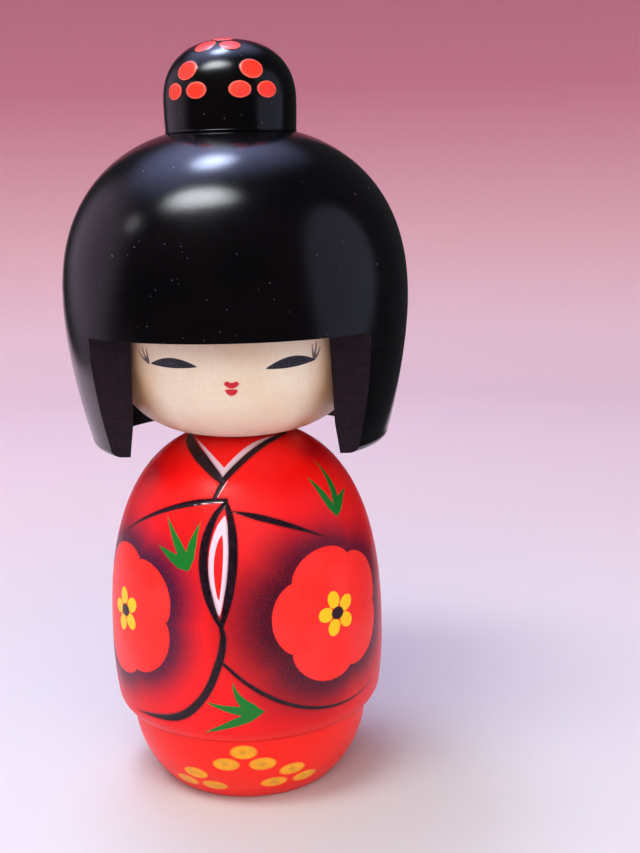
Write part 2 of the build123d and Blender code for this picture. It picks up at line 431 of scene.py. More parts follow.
# ---- shader helpers

def paint(red, green, blue):
    """Linear colour from display values of 0 to 255."""
    def linear(v):
        v /= 255
        return v / 12.92 if v <= 0.04045 else ((v + 0.055) / 1.055) ** 2.4
    return (linear(red), linear(green), linear(blue), 1)


def put(tree, socket, value):
    """Puts a value or another node's output into a socket; None leaves it as it is."""
    if isinstance(value, bpy.types.NodeSocket):
        tree.links.new(value, socket)
    elif value is not None:
        socket.default_value = value


def add_node(tree, kind, inputs, output=0, **settings):
    """One output of a new node, with its inputs filled and its settings made."""
    node = tree.nodes.new("ShaderNode" + kind)
    for name, value in settings.items():
        setattr(node, name, value)
    for key, value in inputs.items():
        put(tree, node.inputs[key], value)
    return node.outputs[output]


class Shader:
    """A material under construction."""

    def __init__(self, name):
        self.material = bpy.data.materials.new(name)
        self.material.use_nodes = True
        self.tree = self.material.node_tree
        self.where = self.node("TexCoord", {}, "Object")
        self.relief = None

    def node(self, kind, inputs, output=0, **settings):
        """One output of a new node in this material."""
        return add_node(self.tree, kind, inputs, output, **settings)

    def field(self, name):
        """A painted distance, or the strength of a shade, kept on the mesh."""
        return self.node("Attribute", {}, "Fac", attribute_name=name)

    def math(self, kind, a, b=None):
        """One step of arithmetic."""
        return self.node("Math", {0: a, 1: b}, operation=kind)

    def scaled(self, size, stretch=(1, 1, 1)):
        """Object coordinates in units of a size in millimetres."""
        scale = [1 / (s * size * MM) for s in stretch]
        return self.node("Mapping", {"Vector": self.where, "Scale": scale})

    def noise(self, size, detail=2.0, stretch=(1, 1, 1)):
        """Noise with features of a size in millimetres."""
        inputs = {"Vector": self.scaled(size, stretch), "Scale": 1.0, "Detail": detail}
        return self.node("TexNoise", inputs, "Fac")

    def specks(self, size, radius):
        """1 in small round specks scattered a size apart, 0 elsewhere."""
        away = self.node("TexVoronoi", {"Vector": self.scaled(size), "Scale": 1.0}, "Distance")
        return self.ramp(away, radius / size, 0.4 * radius / size)

    def ramp(self, value, start, end, low=0.0, high=1.0, smooth=True):
        """Change from low to high as value goes from start to end."""
        inputs = {"Value": value, "From Min": start, "From Max": end, "To Min": low, "To Max": high}
        kind = "SMOOTHSTEP" if smooth else "LINEAR"
        return self.node("MapRange", inputs, "Result", interpolation_type=kind)

    def mask(self, name, soft=0.06, wobble=0.05):
        """1 inside a painted shape, 0 outside, with a softness and a hand's wobble in millimetres."""
        drift = self.math("MULTIPLY", self.math("SUBTRACT", self.noise(0.9), 0.5), wobble * 2)
        return self.ramp(self.math("ADD", self.field(name), drift), soft, -soft)

    def mix(self, factor, a, b):
        """Colour between a and b."""
        return self.node("Mix", {0: factor, 6: a, 7: b}, 2, data_type="RGBA")

    def mottled(self, a, b, size, low, high, detail=2.0):
        """Colour that wanders between a and b in patches of a size in millimetres."""
        return self.mix(self.ramp(self.noise(size, detail), low, high), a, b)

    def blend(self, factor, a, b):
        """Number between a and b."""
        return self.node("Mix", {0: factor, 2: a, 3: b})

    def bump(self, height, depth):
        """Adds surface relief of a depth in millimetres."""
        inputs = {"Distance": depth * MM, "Height": height, "Normal": self.relief}
        self.relief = self.node("Bump", inputs, "Normal")

    def finish(self, colour, roughness, specular=0.5, coat=0.0, coat_roughness=0.03):
        """The material, with its surface connected."""
        inputs = {"Base Color": colour, "Roughness": roughness, "Normal": self.relief,
                  "Specular IOR Level": specular, "Coat Weight": coat, "Coat Roughness": coat_roughness}
        for name, value in inputs.items():
            put(self.tree, self.tree.nodes["Principled BSDF"].inputs[name], value)
        return self.material


# ---- materials

def turned_wood_relief(shader, depth):
    """Fine rings from the lathe and a faint upright grain."""
    rings = shader.noise(0.3, detail=3, stretch=(30, 30, 1))
    grain = shader.noise(0.35, detail=2, stretch=(1, 1, 24))
    shader.bump(rings, depth)
    shader.bump(grain, depth * 0.7)
    return rings, grain


def painted_body_material():
    """Red dye over turned wood, with the painted kimono pattern."""
    s = Shader("kimono_red_paint")
    grain = turned_wood_relief(s, 0.02)[1]
    colour = s.mottled(paint(255, 20, 12), paint(248, 14, 18), 14, 0.35, 0.7, detail=3)
    colour = s.mix(s.ramp(grain, 0.45, 0.75, 0, 0.35), colour, paint(228, 8, 14))
    colour = s.mix(s.ramp(s.field("foot"), 0.3, -0.3), colour, paint(255, 34, 20))
    # The halo field holds the flowers' airbrushed halos and also the painted shade on the shoulders
    halo_and_painted_shade = s.math("MULTIPLY", s.field("halo_and_painted_shade"), s.ramp(s.noise(0.35, detail=3), 0.2, 0.8, 0.88, 1.04))
    dusk = s.mix(s.field("plum"), paint(52, 0, 10), paint(52, 16, 54))
    colour = s.mix(halo_and_painted_shade, colour, dusk)
    flower = s.mottled(paint(255, 48, 42), paint(255, 36, 24), 7, 0.3, 0.7)
    colour = s.mix(s.mask("flower", soft=0.12), colour, flower)
    colour = s.mix(s.mask("petal", soft=0.1), colour, paint(255, 206, 12))
    colour = s.mix(s.mask("eye", soft=0.14), colour, paint(46, 22, 30))
    leaf = s.mottled(paint(6, 118, 40), paint(30, 118, 34), 1.4, 0.35, 0.7, detail=3)
    colour = s.mix(s.mask("leaf", soft=0.08), colour, leaf)
    gold = s.mottled(paint(255, 178, 34), paint(238, 168, 40), 1.6, 0.35, 0.65)
    gold = s.mix(s.ramp(s.field("gold"), -0.75, -1.5, 0, 0.6), gold, paint(196, 142, 48))
    colour = s.mix(s.mask("gold", soft=0.2, wobble=0.08), colour, gold)
    colour = s.mix(s.mask("white", soft=0.07), colour, paint(228, 206, 218))
    colour = s.mix(s.mask("lining", soft=0.07), colour, paint(226, 20, 20))
    ink = s.mask("ink", soft=0.09)
    scorch = s.ramp(s.field("ink"), 0.55, -0.1, 0, 0.55)
    colour = s.mix(scorch, colour, paint(120, 8, 16))
    dark = s.mottled(paint(16, 8, 14), paint(44, 20, 34), 0.7, 0.35, 0.7, detail=3)
    colour = s.mix(ink, colour, dark)
    # Painted highlight: pale streaks down the middle of two grooves
    colour = s.mix(s.mask("painted_groove_highlight", soft=0.06, wobble=0.03), colour, paint(250, 214, 220))
    rough = s.ramp(s.noise(2.5, detail=3), 0.3, 0.7, 0.34, 0.42)
    rough = s.blend(ink, rough, 0.3)
    s.bump(s.mask("ink", soft=0.25, wobble=0), -0.06)
    return s.finish(colour, rough, specular=0.24, coat=0.1, coat_roughness=0.22)


def face_wood_material():
    """Pale waxed wood with the painted face."""
    s = Shader("pale_wood_face")
    rings, grain = turned_wood_relief(s, 0.012)
    colour = s.mottled(paint(232, 228, 202), paint(228, 218, 186), 9, 0.35, 0.7)
    colour = s.mix(s.ramp(grain, 0.45, 0.75, 0, 0.3), colour, paint(218, 198, 164))
    colour = s.mix(s.ramp(rings, 0.5, 0.8, 0, 0.18), colour, paint(224, 196, 160))
    # Warm painted shade beside the locks and under the fringe
    colour = s.mix(s.field("shade"), colour, paint(196, 138, 78))
    slate = s.mottled(paint(22, 24, 36), paint(52, 56, 72), 0.6, 0.4, 0.75, detail=3)
    colour = s.mix(s.mask("eyes", soft=0.05, wobble=0.02), colour, slate)
    lashes = s.math("MULTIPLY", s.mask("lashes", soft=0.08, wobble=0.02), 0.9)
    colour = s.mix(lashes, colour, paint(42, 34, 58))
    colour = s.mix(s.ramp(s.field("lips"), 0.35, 0.0, 0, 0.25), colour, paint(236, 150, 140))
    colour = s.mix(s.mask("lips", soft=0.06, wobble=0.03), colour, paint(200, 0, 24))
    return s.finish(colour, s.ramp(s.noise(3), 0.3, 0.7, 0.42, 0.5), coat=0.15, coat_roughness=0.3)


def lacquer_layer(s):
    """Black lacquer with dust under the gloss: its colour and roughness."""
    s.bump(s.noise(2.2, detail=2), 0.012)
    s.bump(s.noise(0.35, detail=2, stretch=(20, 20, 1)), 0.0025)
    dust = s.math("MAXIMUM", s.math("MULTIPLY", s.specks(2.0, 0.14), 0.6), s.specks(4.1, 0.2))
    colour = s.mottled(paint(3, 2, 3), paint(7, 4, 6), 20, 0.35, 0.7)
    colour = s.mix(s.math("MULTIPLY", dust, 0.8), colour, paint(120, 112, 124))
    s.bump(dust, 0.012)
    rough = s.ramp(s.noise(6, detail=3), 0.3, 0.7, 0.17, 0.21)
    return colour, rough


def lacquer_material():
    """High-gloss black lacquer of the hair."""
    s = Shader("black_hair_lacquer")
    colour, rough = lacquer_layer(s)
    return s.finish(colour, rough)


def cut_wood_material():
    """The flat cut faces of the locks and the fringe: matt black stain over upright grain."""
    s = Shader("black_stained_cut_wood")
    grain = s.noise(0.28, detail=3, stretch=(1, 1, 22))
    saw_marks = s.noise(0.35, detail=2, stretch=(30, 30, 1))
    s.bump(grain, 0.03)
    s.bump(saw_marks, 0.02)
    tone = s.math("ADD", s.math("MULTIPLY", grain, 0.5), s.math("MULTIPLY", saw_marks, 0.5))
    colour = s.mix(s.ramp(tone, 0.38, 0.66), paint(18, 9, 18), paint(38, 16, 28))
    return s.finish(colour, s.ramp(grain, 0.3, 0.7, 0.42, 0.55), specular=0.3)


def knot_material():
    """Black lacquer with raised drops of red paint, their rims lighter with a painted highlight."""
    s = Shader("black_knot_lacquer")
    colour, rough = lacquer_layer(s)
    spot = s.mask("spot", soft=0.07, wobble=0.03)
    # Painted highlight: the rounded rims of the raised drops are lighter
    rim = s.ramp(s.field("spot"), -0.45, -0.05)
    red = s.mix(s.math("MULTIPLY", rim, 0.55), paint(240, 52, 32), paint(248, 120, 100))
    colour = s.mix(spot, colour, red)
    rough = s.blend(spot, rough, 0.3)
    return s.finish(colour, rough)


def dowel_material():
    """Bare dowel wood with a straight grain."""
    s = Shader("dowel_wood")
    grain = s.noise(0.3, detail=3, stretch=(1, 1, 20))
    s.bump(grain, 0.04)
    colour = s.mix(s.ramp(grain, 0.3, 0.75), paint(222, 190, 146), paint(188, 148, 100))
    return s.finish(colour, s.ramp(grain, 0.3, 0.7, 0.5, 0.65))


# ---- painted body

# Places on the body are (angle, height). A stroke is a start, a bend that pulls it, an end and its half
# widths; the stem runs through rows of (angle, height, half width). Side -1 is the doll's right, 1 its left.
SHOULDER_Z = 72.8
CROSSING_ANGLE = -8
COLLAR_DROP = 6.4
COLLAR_SPREAD = {-1: 24, 1: 17}
COLLAR_REACH = 78
COLLAR_WIDTHS = {-1: (0.28, 0.85, 1.18, 0.95, 0.5), 1: (0.5, 0.62, 0.66, 0.58, 0.3)}
WHITE_REACH = 62
WHITE_LOW_DROP = 5.8
WHITE_LOW_SPREAD = {-1: 18, 1: 15}
WHITE_HIGH_DROP = 4.2
WHITE_HIGH_SPREAD = {-1: 19, 1: 12}
COLLAR_TAIL = ((-6.6, 66.9), (-9.2, 65.2), (-11.4, 63.4), (0.46, 0.47, 0.34))
SLEEVE_TOP_LEFT = ((-74, 52), (-40, 63.3), (-5, 63.3), (0.06, 0.2, 0.45, 0.62, 0.42))
SLEEVE_TOP_RIGHT = ((-1, 61.4), (22, 59.6), (45, 54.3), (0.15, 0.62, 0.58, 0.3, 0.08))
SLEEVE_LOW_RIGHT = ((-6, 33), (25, 17), (66, 22.4), (0.3, 0.42, 0.35, 0.24, 0.05))
# Painted highlights: thin pale streaks down the middle of two burnt grooves, where their gloss would catch
# the light
GROOVE_HIGHLIGHT_STREAKS = [((-22, 62.3), (-14, 62.9), (-6.5, 63), (0.05, 0.14, 0.12)),
                 ((-4.6, 66.7), (-7, 65.6), (-9.5, 63.9), (0.05, 0.13, 0.08))]
STEM = [(-6.5, 40.4, 0.4), (-5.7, 37.8, 0.62), (-7.8, 33, 0.75), (-14.5, 26, 0.76), (-27, 20.9, 0.8),
        (-50, 19.3, 0.06)]
LENS_TOP = (-5, 62.9)
LENS_BOTTOM = (-6.4, 40.2)
LENS_BULGES = (-8.4, 4.4)
LENS_WIDTHS = (0.45, 0.85, 0.9, 0.82, 0.4)
WHITE_LENS = ((-5.1, 60.8), (-7.1, 42), -5.7, 3.1)
LINING_LENS = ((-6, 57.5), (-7.1, 44.8), -2.9, 1.0)
BOW_FULLEST = 0.41
BOW_FULLNESS = 0.85
# A leaf is a heel and three blades, each with the bend that pulls it and its tip
LEAVES = [((-20.3, 50.6),
           [((-28, 52.8), (-37.5, 54.6)), ((-25, 55), (-36.3, 60.4)), ((-20.5, 55.5), (-16.6, 59.6))]),
          ((52.4, 58), [((58, 61), (70.4, 62)), ((62, 64), (58, 68.2)), ((50, 62.5), (43, 66.2))]),
          ((9.3, 23), [((-2, 20.8), (-17, 18)), ((-2, 22.8), (-15, 25.2)), ((-2, 24.2), (-2.6, 29.7))])]
BLADE_WIDTHS = (0.12, 0.95, 0.85, 0.42, 0.03)
# Soft dark painted shade on the shoulders, below the locks
PAINTED_SHOULDER_SHADE = [(-64, 66), (66, 69.5)]
PAINTED_SHADE_SIZE = (4.2, 2.6)
PAINTED_SHADE_STRENGTH = 0.42
# Flowers are (angle, height, turn of the notches, side that the dark halo leans to, its reach, its extra
# reach on that side, how plum it is)
FLOWERS = [(-55.6, 39.9, 0, 40, 4.2, 1.2, 0.9), (42.8, 40.1, -4, 190, 4.8, 5.0, 0.3)]
FLOWER_NOTCH_RADIUS = 11.6
FLOWER_TIP_RADIUS = 13.5
FLOWER_STRETCH = 1.06
FLOWER_LOBES = 5
LOBE_FULLNESS = 0.62
HALO_SHARPNESS = 2.1
HALO_LEAN = 0.05
FAR_HALO_STRENGTH = 0.25
FAR_HALO_REACH = 5
PLUM_LEAN = 0.3
FIRST_PETAL_ANGLE = 105
PETAL_DISTANCE = 2.9
PETAL_SIZE = (3.45, 2.9)
FLOWER_EYE = (3.1, 2.5)
# Gold spots on the foot stand in threes, one over two; each group is (angle, height of its top spot)
GOLD_GROUPS = [(-26.5, 6.9), (0, 13), (24, 7.8)]
GOLD_STEP = (8.8, -2.9)
GOLD_SIZE = (5.3, 3.0)
# Dark lines are burnt in: the groove's depth, and how far in from the line's edge it is fully deep
GROOVE_DEPTH = 0.13
GROOVE_SLOPE = 0.5
LOWEST_PAINT_Z = 0.5
SOCKET_MARGIN_RADIUS = 9


def sweep(start, bend, end, widths):
    """Rows of a brush stroke from start to end, pulled towards bend, with half widths at even steps."""
    t = np.linspace(0, 1, 9)
    rows = [(1 - t) ** 2 * a + 2 * t * (1 - t) * b + t ** 2 * c for a, b, c in zip(start, bend, end)]
    return with_widths(np.column_stack(rows), widths)


def with_widths(places, widths):
    """Adds half widths, given at even steps, to a row of places."""
    steps = np.linspace(0, 1, len(places))
    return np.column_stack([places, np.interp(steps, np.linspace(0, 1, len(widths)), widths)])


def bow(top, bottom, bulge):
    """Places down a bowed line that is fullest a little above its middle."""
    t = np.linspace(0, 1, 13)
    swell = np.sin(np.pi * t ** (math.log(0.5) / math.log(BOW_FULLEST))).clip(0) ** BOW_FULLNESS
    angle = top[0] + (bottom[0] - top[0]) * t + bulge * swell
    return np.column_stack([angle, top[1] + (bottom[1] - top[1]) * t])


def lens(top, bottom, left, right):
    """Outline of a pointed oval between two bowed lines."""
    return np.vstack([bow(top, bottom, left), bow(top, bottom, right)[::-1]])


def collar_edge(side, drop, spread, reach):
    """Places along a collar edge that rises from the crossing and flattens out towards a shoulder."""
    away = np.linspace(0, 1, 13) ** 2 * reach
    return np.column_stack([CROSSING_ANGLE + side * away, SHOULDER_Z - drop * np.exp(-away / spread)])


def white_collar():
    """Outline of the white band between the dark collar edges and the red at the neck."""
    low, high = {}, {}
    for side in (-1, 1):
        low[side] = collar_edge(side, WHITE_LOW_DROP, WHITE_LOW_SPREAD[side], WHITE_REACH)
        high[side] = collar_edge(side, WHITE_HIGH_DROP, WHITE_HIGH_SPREAD[side], WHITE_REACH)
    return np.vstack([low[-1][::-1], low[1][1:], high[1][::-1], high[-1][1:]])


def three_spots(angle, top_z, step):
    """Places of a group of three spots, one over two."""
    return [(angle, top_z), (angle - step[0], top_z + step[1]), (angle + step[0], top_z + step[1])]


def flower_distance(across, up, turn):
    """Distance to a lobed flower outline, below zero inside."""
    across = across / FLOWER_STRETCH
    angle = np.arctan2(up, across) - math.radians(turn)
    lobe = np.abs(np.sin(FLOWER_LOBES / 2 * angle)) ** LOBE_FULLNESS
    radius = FLOWER_NOTCH_RADIUS + (FLOWER_TIP_RADIUS - FLOWER_NOTCH_RADIUS) * lobe
    return np.hypot(across, up) - radius


def paint_flower(surface, theta, z, turn, dark_side, reach, extra, plum):
    """One flower: its outline, the airbrushed halo round it, five yellow petals and a dark eye."""
    across, up = local_place(surface, theta, z)
    gap = flower_distance(across, up, turn)
    surface.field("flower", gap.clip(-CLEAR, CLEAR))
    towards = np.cos(np.arctan2(up, across) - math.radians(dark_side))
    outside = gap.clip(0)
    near = np.exp(-(outside / (reach + extra * towards.clip(0))) ** HALO_SHARPNESS)
    near *= 1 - HALO_LEAN + HALO_LEAN * towards
    far = FAR_HALO_STRENGTH * np.exp(-(outside / (reach + FAR_HALO_REACH)) ** 2)
    fade = 1 - (1 - near) * (1 - far)
    halo_and_painted_shade = surface.fields.get("halo_and_painted_shade", 0)
    tint = plum + PLUM_LEAN * (1 - towards) * (1 - plum)
    surface.fields["plum"] = np.where(fade > halo_and_painted_shade, tint, surface.fields.get("plum", 0))
    surface.fields["halo_and_painted_shade"] = np.maximum(halo_and_painted_shade, fade)
    for k in range(FLOWER_LOBES):
        angle = math.radians(FIRST_PETAL_ANGLE - 360 / FLOWER_LOBES * k)
        u = across - PETAL_DISTANCE * math.cos(angle)
        v = up - PETAL_DISTANCE * math.sin(angle)
        along = (u * math.cos(angle) + v * math.sin(angle)) / (PETAL_SIZE[0] / 2)
        side = (v * math.cos(angle) - u * math.sin(angle)) / (PETAL_SIZE[1] / 2)
        surface.field("petal", ((np.hypot(along, side) - 1) * PETAL_SIZE[1] / 2).clip(-CLEAR, CLEAR))
    surface.field("eye", dot(surface, theta, z, *FLOWER_EYE))


def paint_body(surface):
    """All the painted fields of the body, and the shallow burnt grooves of its dark lines."""
    surface.low_row = int(np.argmax(surface.ring[:, 1] > LOWEST_PAINT_Z))
    for side in (-1, 1):
        edge = collar_edge(side, COLLAR_DROP, COLLAR_SPREAD[side], COLLAR_REACH)
        surface.field("ink", stroke(surface, with_widths(edge, COLLAR_WIDTHS[side])))
    for line in (COLLAR_TAIL, SLEEVE_TOP_LEFT, SLEEVE_TOP_RIGHT, SLEEVE_LOW_RIGHT):
        surface.field("ink", stroke(surface, sweep(*line)))
    for bulge in LENS_BULGES:
        surface.field("ink", stroke(surface, with_widths(bow(LENS_TOP, LENS_BOTTOM, bulge), LENS_WIDTHS)))
    surface.field("ink", stroke(surface, STEM))
    # Painted highlight down the middle of two grooves
    for line in GROOVE_HIGHLIGHT_STREAKS:
        surface.field("painted_groove_highlight", stroke(surface, sweep(*line)))
    surface.field("white", filled(surface, white_collar(), rounded=False))
    surface.field("white", filled(surface, lens(*WHITE_LENS), rounded=False))
    surface.field("lining", filled(surface, lens(*LINING_LENS), rounded=False))
    for heel, blades in LEAVES:
        for bend, tip in blades:
            surface.field("leaf", stroke(surface, sweep(heel, bend, tip, BLADE_WIDTHS)))
    for flower in FLOWERS:
        paint_flower(surface, *flower)
    # Painted shade on the shoulders below the locks, kept in the same field as the flowers' airbrushed halos
    for theta, z in PAINTED_SHOULDER_SHADE:
        across, up = local_place(surface, theta, z)
        shoulder_shade = PAINTED_SHADE_STRENGTH * np.exp(-(across / PAINTED_SHADE_SIZE[0]) ** 2 - (up / PAINTED_SHADE_SIZE[1]) ** 2)
        surface.fields["halo_and_painted_shade"] = np.maximum(surface.fields["halo_and_painted_shade"], shoulder_shade)
    for group in GOLD_GROUPS:
        for theta, z in three_spots(*group, GOLD_STEP):
            surface.field("gold", dot(surface, theta, z, *GOLD_SIZE))
    surface.field("foot", surface.z - HEM_Z)
    inner = (surface.z > BODY_TOP_Z - SLIVER) | (surface.r < SOCKET_MARGIN_RADIUS)
    for name in ("gold", "flower", "petal", "eye"):
        surface.fields[name] = np.where(inner, CLEAR, surface.fields[name])
    depth = np.clip(-surface.fields["ink"] / GROOVE_SLOPE, 0, 1)
    surface.offset -= GROOVE_DEPTH * depth * depth * (3 - 2 * depth)


def make_body():
    """The painted body and its foot."""
    surface = Turned(body_outline(spacing=0.36), front_angles(half_width=84, fine=0.66, coarse=3.0))
    paint_body(surface)
    body = surface.build("painted_body", [painted_body_material()])
    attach(body, "lower")
    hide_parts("body")


# ---- head

# Eyes are (left corner, right corner, rise of the lid, sag of the lower edge), and the lower lip is the same
# with a fifth number for how full it is
EYES = [((-35, 90), (-12.6, 89.75), 1.5, 0.45), ((14.6, 89.1), (37.4, 90), 1.65, 0.5)]
LOWER_LIP = ((-2.2, 85.3), (3.3, 85.3), 0.12, 1.2, 0.5)
UPPER_LIP = [(-2.4, 86.5), (-1.2, 87), (0.7, 86.65), (2.8, 86.9), (3.9, 86.4), (2.4, 85.75), (0.7, 85.55),
             (-1.2, 85.85)]
# Three lashes fan out from each outer corner: (corner, tips)
LASHES = [((-35.6, 90.1), [(-40.5, 92.3), (-38.2, 93), (-35.8, 93)]),
          ((36.4, 90.1), [(39, 92.3), (37, 93.3), (35, 93)])]
LASH_WIDTHS = (0.24, 0.2, 0.11)
CHIN_MARGIN_RADIUS = 8
# Painted shade beside the locks and under the fringe: where it starts, how far it takes, how strong it gets
SIDE_SHADE = (30, 16, 0.75)
SIDE_SHADE_POWER = 1.4
TOP_SHADE = (89, 7, 0.35)


def almond(left, right, rise, sag, fullness=0.9):
    """Outline of an eye or a lip between two corners, so far up and so far down in its middle."""
    t = np.linspace(0, 1, 15)
    swell = np.sin(np.pi * t).clip(0) ** fullness
    angle = left[0] + (right[0] - left[0]) * t
    line = left[1] + (right[1] - left[1]) * t
    return np.vstack([np.column_stack([angle, line + rise * swell]),
                      np.column_stack([angle, line - sag * swell])[::-1]])


def paint_face(surface):
    """Closed eyes, lashes, lips, and warm painted shade on the wood beside the locks and under the fringe.
    """
    surface.low_row = int(np.argmax(surface.ring[:, 0] > CHIN_MARGIN_RADIUS))
    for eye in EYES:
        surface.field("eyes", filled(surface, almond(*eye), rounded=False))
    for corner, tips in LASHES:
        for tip in tips:
            bend = ((corner[0] + 2 * tip[0]) / 3, (2 * corner[1] + tip[1]) / 3)
            surface.field("lashes", stroke(surface, sweep(corner, bend, tip, LASH_WIDTHS)))
    surface.field("lips", filled(surface, UPPER_LIP))
    surface.field("lips", filled(surface, almond(*LOWER_LIP), rounded=False))
    start, reach, side_strength = SIDE_SHADE
    side = ((np.abs(surface.theta) - start) / reach).clip(0, 1)
    low_z, rise, top_strength = TOP_SHADE
    top = ((surface.z - low_z) / rise).clip(0, 1) * (1 - (np.abs(surface.theta) / start).clip(0, 1))
    surface.fields["shade"] = side_strength * side ** SIDE_SHADE_POWER + top_strength * top


def make_head():
    """The head, with its painted face."""
    surface = Turned(head_outline(spacing=0.25), front_angles(half_width=48, fine=0.5, coarse=3.0))
    paint_face(surface)
    head = surface.build("face_head", [face_wood_material()])
    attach(head, "upper")
    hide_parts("head")


# ---- topknot

# Red spots on the side stand in threes, one over two, round these angles
SPOT_GROUP_ANGLES = (-37, 25, 118, -150)
SPOT_GROUP_TOP_Z = 143.6
SPOT_STEP = (12.2, -3.8)
TOP_SPOT_SIZE = (4.6, 3.9)
LOW_SPOT_SIZE = (4.3, 3.1)
# Spots on the crown are (x, y, width along x, width along y)
CROWN_SPOTS = [(-3.8, -6.5, 4, 3.7), (0.9, -7.5, 4, 3.1), (-0.6, -3.7, 3.8, 3.1)]
SPOT_RISE = 0.14
SPOT_SHOULDER = 0.35
SEAT_EDGE_RADIUS = 12.8
SEAT_MARGIN = 0.5


def paint_knot(surface):
    """Raised red spots round the side of the topknot and on its crown."""
    surface.low_row = int(np.argmax(surface.ring[:, 0] > SEAT_EDGE_RADIUS))
    for angle in SPOT_GROUP_ANGLES:
        sizes = (TOP_SPOT_SIZE, LOW_SPOT_SIZE, LOW_SPOT_SIZE)
        for place, size in zip(three_spots(angle, SPOT_GROUP_TOP_Z, SPOT_STEP), sizes):
            surface.field("spot", dot(surface, *place, *size))
    on_crown = surface.z > KNOT_WIDEST_Z
    for x, y, width, depth in CROWN_SPOTS:
        away = np.hypot((surface.points[:, 0] - x) / (width / 2), (surface.points[:, 1] - y) / (depth / 2))
        gap = (away - 1) * min(width, depth) / 2
        surface.field("spot", np.where(on_crown, gap, CLEAR).clip(-CLEAR, CLEAR))
    inside = surface.along < surface.length_of_row[surface.low_row] - SEAT_MARGIN
    surface.fields["spot"] = np.where(inside, CLEAR, surface.fields["spot"])
    rise = (-surface.fields["spot"] / SPOT_SHOULDER).clip(0, 1)
    surface.offset += SPOT_RISE * np.sqrt(rise * (2 - rise))


def make_topknot():
    """The topknot, with its spots."""
    surface = Turned(knot_outline(spacing=0.3), np.arange(0, 360, 1.25))
    paint_knot(surface)
    knot = surface.build("lacquered_topknot", [knot_material()])
    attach(knot, "upper")
    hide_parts("topknot")


# ---- hair cap

LOCK_COLUMNS = 8
BACK_COLUMNS = 230
FRONT_COLUMNS = 90
CAP_SPACING = 0.7
SHARP_ANGLE = math.radians(35)


def lock_face_y(z):
    """Front-to-back place of the locks' leaning front faces."""
    return -(LOCK_FACE_DISTANCE + LOCK_FACE_LEAN * (z - LOCK_MID_Z))


def lock_corner(z):
    """Place (x, y) of the locks' inner front corner, on the flat inner side or on the bore."""
    y = lock_face_y(z)
    flat = LOCK_INNER_DISTANCE - LOCK_INNER_LEAN * (z - LOCK_MID_Z)
    return np.maximum(flat, np.sqrt(CAP_BORE_RADIUS ** 2 - y ** 2)), y


def outer_angle(radius, z):
    """Degrees from the front to the locks' outer front edge, on a circle of a radius."""
    return np.degrees(np.arccos(np.clip(-lock_face_y(z) / radius, -1, 1)))


def bore_angle(z):
    """Degrees from the front to the place where the locks' inner sides meet the bore."""
    return np.degrees(np.arcsin(lock_corner(z)[0] / CAP_BORE_RADIUS))


def cap_rows():
    """Section of the cap as rows of (radius, z): outside below the fringe, all above it, inside below it."""
    round_top = CAP_HEM_Z + CAP_HEM_ROUND
    side = cap_radius(round_top)
    lean = CAP_HEM_ROUND * (1 - math.sin(math.pi / 4))
    hem_middle = (side - lean, CAP_HEM_Z + lean)
    rounding = arc_through((side - CAP_HEM_ROUND, CAP_HEM_Z), hem_middle, (side, round_top), 8)
    outer_low = joined(rounding, evenly(by_height(cap_radius, round_top, FRINGE_Z), CAP_SPACING))
    outer_high = evenly(by_height(cap_radius, FRINGE_Z, CAP_TOP_Z), CAP_SPACING)[1:]
    cavity_height = HEAD_UPPER_SEMI_HEIGHT + SHELL_GLUE_GAP
    cavity = quarter(HEAD_RADIUS + SHELL_GLUE_GAP, cavity_height, HEAD_CENTRE_Z, 160)
    cavity = evenly(cavity[cavity[:, 0] > PIN_HOLE_RADIUS], 2)[::-1]
    crown = [(PIN_HOLE_RADIUS, CAP_TOP_Z), (PIN_HOLE_RADIUS, cavity[0, 1] + SLIVER)]
    shoulder = [(CAP_BORE_RADIUS, HEAD_CENTRE_Z), (CAP_BORE_RADIUS, FRINGE_Z)]
    high = np.vstack([outer_high, crown, cavity, shoulder])
    inner_low = np.column_stack([np.full(len(outer_low) - 1, CAP_BORE_RADIUS), outer_low[:-1, 1][::-1]])
    return outer_low, high, inner_low


def sector(rows, starts, ends, columns):
    """Grid of points, one row for each (radius, z), between a start and an end angle in degrees."""
    u = np.linspace(0, 1, columns + 1)
    theta = starts[:, None] + (ends - starts)[:, None] * u
    r = np.repeat(rows[:, :1], columns + 1, axis=1)
    z = np.repeat(rows[:, 1:2], columns + 1, axis=1)
    return Turned.place(theta.ravel(), r.ravel(), z.ravel()), len(rows), columns + 1


class Patches:
    """Grids of points collected into one mesh."""

    def __init__(self):
        self.verts, self.faces, self.slots = [], [], []

    def add(self, points, rows, columns, slot, flip=False, closed=False):
        """One grid and its material slot; closed joins its last row to its first."""
        start = sum(len(v) for v in self.verts)
        self.verts.append(points)
        faces = grid_faces(rows, columns, start, join_rows=closed)
        self.faces += [face[::-1] for face in faces] if flip else faces
        self.slots += [slot] * len(faces)


def between(start, end, share):
    """Grid of points from a line of points to another, at shares of the way."""
    return (start[:, None] * (1 - share[None, :, None]) + end[:, None] * share[None, :, None]).reshape(-1, 3)


def cap_half_angles(loop, first_high, last_high):
    """Degrees from the front to the cut edge, for every row of the cap's section."""
    half = bore_angle(np.minimum(loop[:, 1], FRINGE_Z))
    half[:first_high] = outer_angle(loop[:first_high, 0], loop[:first_high, 1])
    outer_end = first_high + int(np.argmax(loop[first_high:, 0] <= PIN_HOLE_RADIUS + SLIVER))
    half[first_high:outer_end] = float(outer_angle(cap_radius(FRINGE_Z), FRINGE_Z))
    half[outer_end:last_high + 1] = float(bore_angle(FRINGE_Z))
    return half


